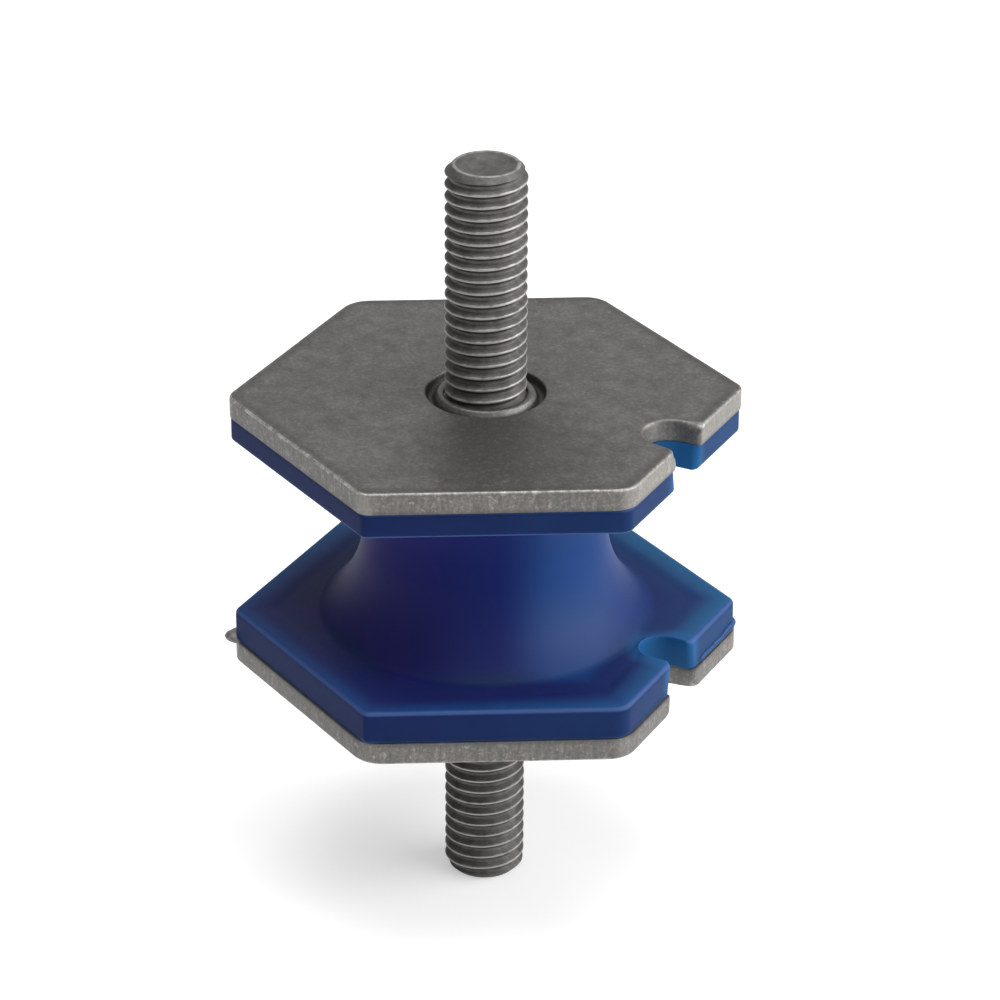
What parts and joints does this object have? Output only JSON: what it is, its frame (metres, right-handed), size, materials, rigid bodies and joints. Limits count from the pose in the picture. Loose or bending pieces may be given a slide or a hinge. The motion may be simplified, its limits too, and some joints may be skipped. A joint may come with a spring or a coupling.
{
  "type": "exhaust mount bushing",
  "caption": "Exhaust mount bushing: a waisted blue polyurethane block between notched hexagonal steel plates, with a threaded stud standing out of each plate.",
  "frame": {"origin": "on the stud axis, at the outer (under) face of the lower plate", "axes": "+Z along the studs, towards the upper one; +X through the notches in the plates and rims"},
  "size_m": [0.0431, 0.049, 0.0762],
  "materials": {
    "plate_steel": "dull, mottled bare steel",
    "stud_steel": "dull rolled thread",
    "polyurethane": "satin cast polyurethane"
  },
  "bodies": {
    "root": {"lower_plate": "plate_steel", "upper_plate": "plate_steel", "lower_stud": "stud_steel", "upper_stud": "stud_steel", "polyurethane_body": "polyurethane"}
  },
  "joints": []
}
